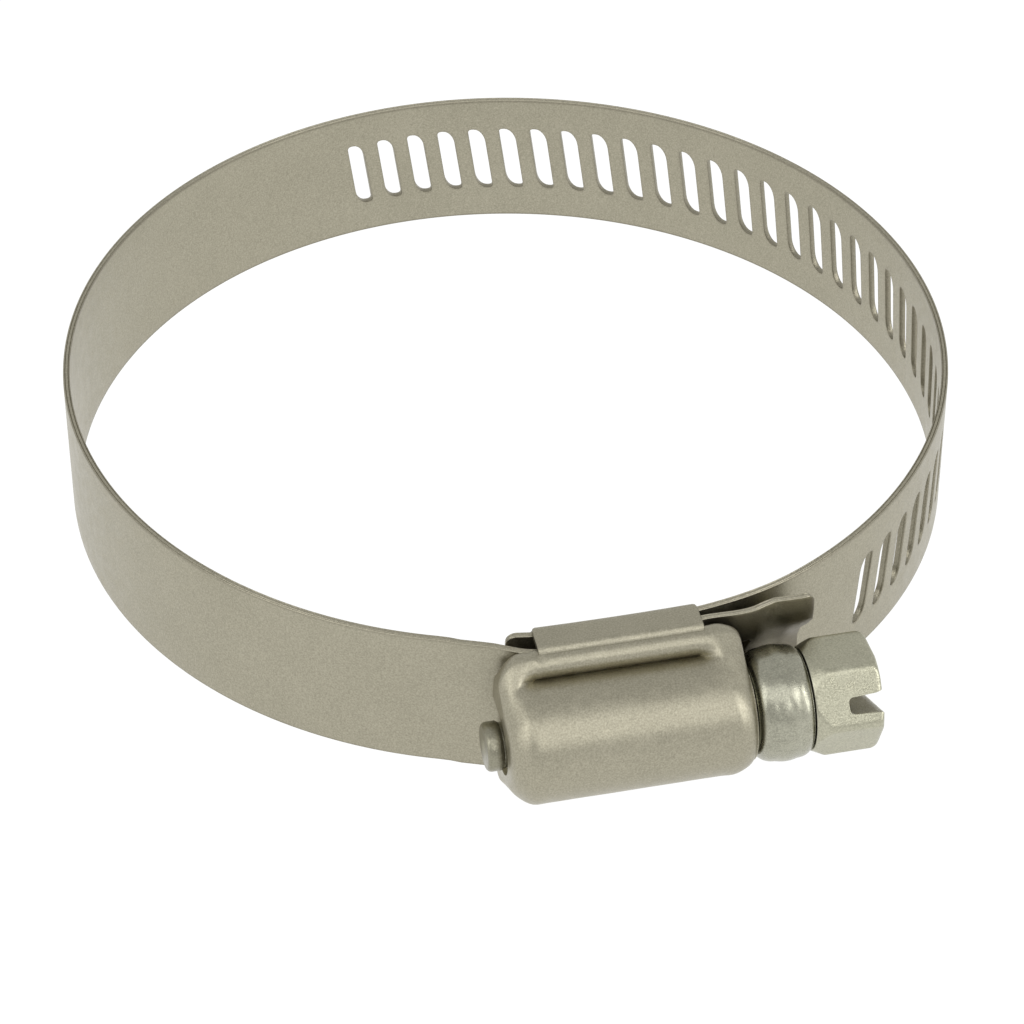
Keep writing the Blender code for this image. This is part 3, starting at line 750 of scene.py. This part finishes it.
DOME_R, WALL = 5.6 * MM, 0.9 * MM
DOME_FROM, DOME_TO = -10.35 * MM, 11.4 * MM
LEFT_ROUND, LEFT_DEPTH = 3.0 * MM, 2.5 * MM
RIGHT_ROUND, RIGHT_DEPTH = 2.3 * MM, 1.2 * MM
BASE = 42.3 * MM             # reach of the housing's underside
FLANGE_TOP, FLANGE_W = 42.55 * MM, 7.1 * MM
FOOT_W, FOOT_INSET = 6.45 * MM, 0.9      # half width of the foot, and the share of an inset it takes
BEAD_FOOT_W = 6.5 * MM       # half width at which the bead meets the flange
FLANGE_SPAN = ((-6.1 * MM, -5.8 * MM), (7.6 * MM, 7.9 * MM))    # where the flange starts and ends
BEAD = Vector((43.05 * MM, 6.15 * MM))   # reach and height of the middle of the bead beside each lip
BEAD_R = 1.25 * MM
BEAD_SWEEP = (radians(-45), radians(125))
BEAD_SPAN = ((-9.7 * MM, -6.4 * MM), (7.2 * MM, 9.6 * MM))      # where the crease by it starts and ends
CREASE_AT = radians(109.5)   # where dome and bead meet, about the screw
ARC_POINTS, BEAD_POINTS = 30, 16
INNER_INSET = 0.55           # share of the outside's inset that the inside has
RIGHT_WALL = 0.5 * MM        # wall at the right end
PILOT_HOLE_R, JOURNAL_HOLE_R = 2.15 * MM, 4.1 * MM
HOLE_LIP = 0.08 * MM         # how far the wall is raised round a hole
HOLE_STEPS = ((0.55 * MM, 1), (0.35 * MM, -4), (0.0, -5))       # (beyond the hole's radius, outwards in lips)
DENT, DENT_SIZE = 0.02 * MM, 3.0 * MM
FOLD, FOLD_SIZE = 0.28 * MM, (0.7 * MM, 0.9 * MM, 1.2 * MM)     # creases beside the lips' left corners
FOLD_AT, FOLD_W, FOLD_HEIGHT = -6.9 * MM, 1.7 * MM, (5.2 * MM, 6.2 * MM)
RIDGES = ((0.13 * MM, -8.5 * MM), (0.07 * MM, 9.5 * MM))        # (height, x) inside each rounded end
RIDGE_W = 1.2 * MM
HOUSING_SHARP = radians(50)


def end_inset(x):
    """How far the housing's section is drawn in towards the screw by its rounded ends."""
    inset = 0.0
    ends = ((LEFT_ROUND, LEFT_DEPTH, x - DOME_FROM), (RIGHT_ROUND, RIGHT_DEPTH, DOME_TO - x))
    for length, depth, gap in ends:
        if gap < length:
            inset = depth * (1 - sqrt(max(1 - (1 - gap / length) ** 2, 0)))
    return inset


def within(x, start, end):
    """1 inside a span, 0 outside, with its start and end each given as (from, to)."""
    return float(ease(x, *start) * (1 - ease(x, *end)))


def housing_half(x):
    """Outside of the housing at x, from its crown to its foot, as (reach, height)."""
    inset = end_inset(x)
    radius = DOME_R - inset
    axis = Vector((SCREW_REACH, 0))
    bead = axis + (BEAD - axis) * (1 - inset / (BEAD - axis).length)
    arc = [CREASE_AT * step / (ARC_POINTS - 1) for step in range(ARC_POINTS)]
    half = [axis + radius * Vector((cos(a), sin(a))) for a in arc]
    sweep = np.linspace(*BEAD_SWEEP, BEAD_POINTS)
    half += [bead + BEAD_R * Vector((cos(a), sin(a))) for a in sweep]
    fill = 1 - within(x, *BEAD_SPAN)
    tangent = tangent_angle(radius, (bead - axis).length, bead - axis)
    first = int(tangent / CREASE_AT * (ARC_POINTS - 1))
    last = ARC_POINTS + int(np.searchsorted(sweep, tangent))
    for index in range(first + 1, last):
        share = (index - first) / (last - first)
        half[index] = half[index].lerp(half[first].lerp(half[last], share), fill)
    foot_w = FOOT_W - inset * FOOT_INSET + (FLANGE_W - FOOT_W) * within(x, *FLANGE_SPAN)
    foot = ((FLANGE_TOP, min(foot_w, BEAD_FOOT_W)), (FLANGE_TOP, foot_w), (BASE, foot_w))
    return half + [Vector(point) for point in foot]


def tangent_angle(radius, distance, towards):
    """Direction of the outer line that touches both dome and bead."""
    return atan2(towards.y, towards.x) - acos((radius - BEAD_R) / distance)


def arch_half(radius):
    """An arch round the screw, open towards the band, with as many points as half the housing's outside."""
    turns = np.linspace(0, pi / 2, ARC_POINTS)
    arc = [Vector((SCREW_REACH + radius * cos(a), radius * sin(a))) for a in turns]
    foot, count = Vector((BASE, radius)), BEAD_POINTS + 3
    return arc + [arc[-1].lerp(foot, (step + 1) / count) for step in range(count)]


def both_sides(half, x):
    """The whole section, from one foot over the crown to the other."""
    side = [(x, -reach, height) for reach, height in half]
    return [(px, py, -pz) for px, py, pz in reversed(side[1:])] + side


def crumple(point):
    """The point, moved by small dents, a faint ridge inside each end and creases beside the lips."""
    x, y, z = point
    place = Vector(point)
    dent = noise.noise(place / DENT_SIZE) * DENT
    near_fold = float(bump(x, FOLD_AT, FOLD_W) * ease(abs(z), *FOLD_HEIGHT))
    fold = noise.noise(Vector([value / size for value, size in zip(point, FOLD_SIZE)])) * FOLD * near_fold
    ridge = sum(height * float(bump(x, at, RIDGE_W)) for height, at in RIDGES)
    away = Vector((0, y + SCREW_REACH, z)).normalized()
    return tuple(place + away * (dent + fold + ridge))


def housing_stations():
    left = [DOME_FROM + LEFT_ROUND * (1 - cos(a)) for a in np.linspace(0.0, pi / 2, 14)]
    middle = list(np.arange(DOME_FROM + LEFT_ROUND + 0.3 * MM, DOME_TO - RIGHT_ROUND - 0.1 * MM, 0.32 * MM))
    right = [DOME_TO - RIGHT_ROUND * (1 - cos(a)) for a in np.linspace(pi / 2, 0.0, 12)]
    return left + middle + right


def add_housing(material):
    shell = Shell()
    stations = housing_stations()
    outer = [shell.row([crumple(point) for point in both_sides(housing_half(x), x)]) for x in stations]
    low, high = DOME_FROM + WALL, DOME_TO - RIGHT_WALL
    inside = [low + (high - low) * (x - DOME_FROM) / (DOME_TO - DOME_FROM) for x in stations]
    radii = [DOME_R - WALL - end_inset(x) * INNER_INSET for x in inside]
    inner = [shell.row(both_sides(arch_half(radius), x)) for radius, x in zip(radii, inside)]
    for rows in (outer, inner):
        for one, two in zip(rows, rows[1:]):
            shell.strip(one, two)
    close_end(shell, outer[0], inner[0], PILOT_HOLE_R, DOME_FROM, low)
    close_end(shell, outer[-1], inner[-1], JOURNAL_HOLE_R, DOME_TO, high)
    for side in (0, -1):
        shell.strip([row[side] for row in outer], [row[side] for row in inner])
    housing = add_object("housing_shell", shell.points, shell.faces, sharp=HOUSING_SHARP)
    finish_piece(housing, material, "stainless", "housing")
    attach(housing, "frame")


def close_end(shell, outside, inward, radius, x_out, x_in):
    """The housing's wall at one end, from its outer face through the screw's hole to its inner face."""
    lip = HOLE_LIP if x_out > x_in else -HOLE_LIP
    rows = [outside]
    for beyond, lips in HOLE_STEPS:
        rows.append(shell.row(both_sides(arch_half(radius + beyond), x_out + lips * lip)))
    rows += [shell.row(both_sides(arch_half(radius), x_in)), inward]
    for one, two in zip(rows, rows[1:]):
        shell.strip(one, two)
    for side in (0, -1):
        shell.faces.append([row[side] for row in rows])


# ---------------------------------------------------------------- the saddle

SADDLE_FROM, SADDLE_TO, SADDLE_T = -6.5 * MM, 8.3 * MM, 0.6 * MM
SADDLE_IN, SADDLE_TOP, SADDLE_HALF_W = 39.5 * MM, 43.2 * MM, 7.85 * MM
LIP_BEND, HOSE_BEND, LIP_EDGE = 0.75 * MM, 1.1 * MM, 7.05 * MM
END_BEVEL, END_MARK = 0.07 * MM, 0.5     # bevel of the sheet's two cut ends, and their edge mark
SAG_LOST, SAG_EDGE = 0.85, (5.7 * MM, 6.9 * MM)          # the bend to the ring fades near the folds
# The far corners, from these reaches to the hose side: how far each end leans in, in mm, and how
# much further its corner is rounded off.
CORNER_REACH, CORNER_HEIGHT = 41.3 * MM, (6.6 * MM, 7.8 * MM)
LEFT_DRAFT, RIGHT_DRAFT = 0.1, 0.05
ROUND_REACH, CORNER_ROUND = 40.5 * MM, 0.7


def saddle_path():
    """Middle of the sheet from one lip's edge to the hose side's middle, as (reach, height, normal angle)."""
    turn, side = LIP_BEND - SADDLE_T / 2, SADDLE_HALF_W - LIP_BEND
    top, foot = SADDLE_TOP - LIP_BEND, SADDLE_IN + HOSE_BEND
    path = [(SADDLE_TOP - SADDLE_T / 2, LIP_EDGE, 0.0)]
    path += [(top + turn * cos(a), side + turn * sin(a), a) for a in np.linspace(0, pi / 2, 8)]
    path += [(top + (foot - top) * share, side + turn, pi / 2) for share in np.linspace(0, 1, 12)[1:-1]]
    turn, side = HOSE_BEND - SADDLE_T / 2, SADDLE_HALF_W - HOSE_BEND
    path += [(foot + turn * cos(a), side + turn * sin(a), a) for a in np.linspace(pi / 2, pi, 8)]
    path += [(foot - turn, side * (1 - share), pi) for share in np.linspace(0, 1, 12)[1:]]
    return path


def sheet_row(x, thickness):
    """Once round the sheet's section at x: its outside from lip to lip, then its inside back."""
    half = saddle_path()
    outside, inside = [], []
    for reach, height, angle in half:
        outside.append((reach + thickness / 2 * cos(angle), height + thickness / 2 * sin(angle)))
        inside.append((reach - thickness / 2 * cos(angle), height - thickness / 2 * sin(angle)))
    edge = (SADDLE_TOP - SADDLE_T / 2, LIP_EDGE - 0.1 * MM)
    outside = [edge] + outside + [(r, -h) for r, h in reversed(outside[:-1])] + [(edge[0], -edge[1])]
    inside = inside + [(r, -h) for r, h in reversed(inside[:-1])]
    return [(x, -reach, height) for reach, height in outside + inside[::-1]]


def seat_on_hose(point):
    """Bends the hose side to the ring, and rounds the four far corners of the sheet."""
    x, y, z = point
    web = SADDLE_IN + SADDLE_T
    low = float(1 - SAG_LOST * ease(abs(z), *SAG_EDGE))
    sag = (web - sqrt(web**2 - x**2)) * float(1 - ease(-y, web, web + 3 * SADDLE_T))
    middle, half = (SADDLE_FROM + SADDLE_TO) / 2, (SADDLE_TO - SADDLE_FROM) / 2
    near_corner = float(ease(-y, CORNER_REACH, SADDLE_IN) * ease(abs(z), *CORNER_HEIGHT))
    draft = RIGHT_DRAFT if x > middle else LEFT_DRAFT
    rounding = CORNER_ROUND * float(ease(-y, ROUND_REACH, SADDLE_IN)) ** 2
    x -= (x - middle) / half * (draft + rounding) * MM * near_corner
    return (x, y + sag * low, z)


def add_saddle(material):
    shell = Shell()
    rows = []
    places = [SADDLE_FROM, SADDLE_FROM + END_BEVEL]
    places += list(np.linspace(SADDLE_FROM + 0.5 * MM, SADDLE_TO - 0.5 * MM, 24))
    places += [SADDLE_TO - END_BEVEL, SADDLE_TO]
    for x in places:
        thin = x in (SADDLE_FROM, SADDLE_TO)
        row = sheet_row(x, SADDLE_T - (2 * END_BEVEL if thin else 0))
        rows.append(shell.row([seat_on_hose(point) for point in row], END_MARK if thin else 0.0))
    for one, two in zip(rows, rows[1:]):
        shell.strip(one, two, closed=True)
    count = (len(rows[0]) - 2) // 2
    for row in (rows[0], rows[-1]):
        near, far = row[1:count + 1], row[count + 2:][::-1]
        shell.strip(near, far)
        shell.faces += [(row[0], near[0], far[0]), (row[count + 1], near[-1], far[-1])]
    saddle = add_object("saddle_sheet", shell.points, shell.faces, shell.marks)
    finish_piece(saddle, material, "stainless", "saddle")
    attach(saddle, "frame")


# ---------------------------------------------------------------- camera, floor and light

CAMERA_FROM = 385.93 * MM    # from the ring's centre
CAMERA_AZIMUTH, CAMERA_RISE = radians(-12.2), radians(38.717)
AIM_DOWN, AIM_RIGHT, ROLL = radians(1.5016), radians(0.0828), radians(0.2238)
LENS, SENSOR = 141.64, 36    # millimetres
FLOOR_HALF, FLOOR_STEPS = 3.0, 24
SKY_LOW, SKY_HIGH = 0.85, 0.72       # the world's brightness at the horizon and overhead


def add_camera():
    data = bpy.data.cameras.new("camera")
    data.lens, data.sensor_width, data.clip_start, data.clip_end = LENS, SENSOR, 0.01, 20
    camera = bpy.data.objects.new("camera", data)
    bpy.context.scene.collection.objects.link(camera)
    bpy.context.scene.camera = camera
    away = Vector((
        cos(CAMERA_RISE) * sin(CAMERA_AZIMUTH), -cos(CAMERA_RISE) * cos(CAMERA_AZIMUTH), sin(CAMERA_RISE),
    ))
    ahead = -away
    right = ahead.cross(Vector((0, 0, 1))).normalized()
    up = right.cross(ahead)
    down = Matrix.Rotation(-AIM_DOWN, 3, right)
    ahead, up = down @ ahead, down @ up
    side = Matrix.Rotation(-AIM_RIGHT, 3, up)
    ahead, right = side @ ahead, side @ right
    roll = Matrix.Rotation(ROLL, 3, ahead)
    right, up = roll @ right, roll @ up
    facing = Matrix((right, up, -ahead)).transposed().to_4x4()
    camera.matrix_world = Matrix.Translation(CENTRE + away * CAMERA_FROM) @ facing


def add_floor(height):
    """A pale glowing table, as bright as paper all over, so that no shadow shows on it."""
    shell = Shell()
    places = np.linspace(-FLOOR_HALF, FLOOR_HALF, FLOOR_STEPS)
    rows = [shell.row([(along, across, 0) for across in places]) for along in places]
    for one, two in zip(rows, rows[1:]):
        shell.strip(one, two)
    mesh = bpy.data.meshes.new("floor")
    mesh.from_pydata(shell.points, [], shell.faces)
    floor = bpy.data.objects.new("floor", mesh)
    floor.location.z = height - 0.02 * MM
    bpy.context.scene.collection.objects.link(floor)
    pale = bpy.data.materials.new("pale_table")
    pale.use_nodes = True
    shader = pale.node_tree.nodes["Principled BSDF"]
    shader.inputs["Base Color"].default_value = (0.06, 0.06, 0.06, 1)
    shader.inputs["Roughness"].default_value = 0.9
    shader.inputs["Specular IOR Level"].default_value = 0.0
    shader.inputs["Emission Color"].default_value = (1, 1, 1, 1)
    shader.inputs["Emission Strength"].default_value = 1.0
    mesh.materials.append(pale)


def add_softbox(name, azimuth, rise, distance, width, height, power):
    """A soft light aimed at the housing, at this azimuth from -Y and rise above the floor."""
    data = bpy.data.lights.new(name, "AREA")
    data.shape, data.size, data.size_y, data.energy = "RECTANGLE", width, height, power
    light = bpy.data.objects.new(name, data)
    away = Vector((cos(rise) * sin(azimuth), -cos(rise) * cos(azimuth), sin(rise)))
    facing = away.to_track_quat("Z", "Y").to_matrix().to_4x4()
    light.matrix_world = Matrix.Translation(SCREW_AXIS + away * distance) @ facing
    bpy.context.scene.collection.objects.link(light)


def add_world():
    world = bpy.data.worlds.new("studio")
    bpy.context.scene.world = world
    world.use_nodes = True
    tree = world.node_tree
    background = tree.nodes["Background"]
    place = tree.nodes.new("ShaderNodeTexCoord").outputs["Generated"]
    split = tree.nodes.new("ShaderNodeSeparateXYZ")
    tree.links.new(place, split.inputs["Vector"])
    shade = stretch_range(tree, split.outputs["Z"], 0.0, 0.9, SKY_LOW, SKY_HIGH)
    tree.links.new(shade, background.inputs["Strength"])
    background.inputs["Color"].default_value = (1, 1, 1, 1)


def main():
    bpy.context.scene.view_settings.view_transform = "Standard"
    satin = steel("satin_steel", (0.4, 0.375, 0.29), (0.325, 0.305, 0.23), 0.38, 0.012 * MM, 0.3)
    matt = steel("matt_steel", (0.475, 0.465, 0.36), (0.37, 0.36, 0.27), 0.33, 0.022 * MM, 0.22)
    burnished = steel("burnished_steel", (0.43, 0.425, 0.34), (0.3, 0.295, 0.235), 0.28, 0.008 * MM, 0.2)
    add_camera()
    add_world()
    add_floor(cad_box[0].z)
    add_softbox("left_softbox", radians(-75), radians(35), 0.6, 0.25, 0.5, 0.65)
    add_softbox("right_softbox", radians(55), radians(30), 0.6, 0.2, 0.5, 0.9)
    add_softbox("top_softbox", radians(-10), radians(60), 0.7, 0.6, 0.4, 0.7)
    add_softbox("facet_softbox", radians(12), radians(34), 0.7, 0.16, 0.16, 0.2)
    add_bands(satin)
    add_housing(satin)
    add_saddle(satin)
    add_screw(matt)
    add_collar(burnished)


main()

bpy.context.view_layer.update()
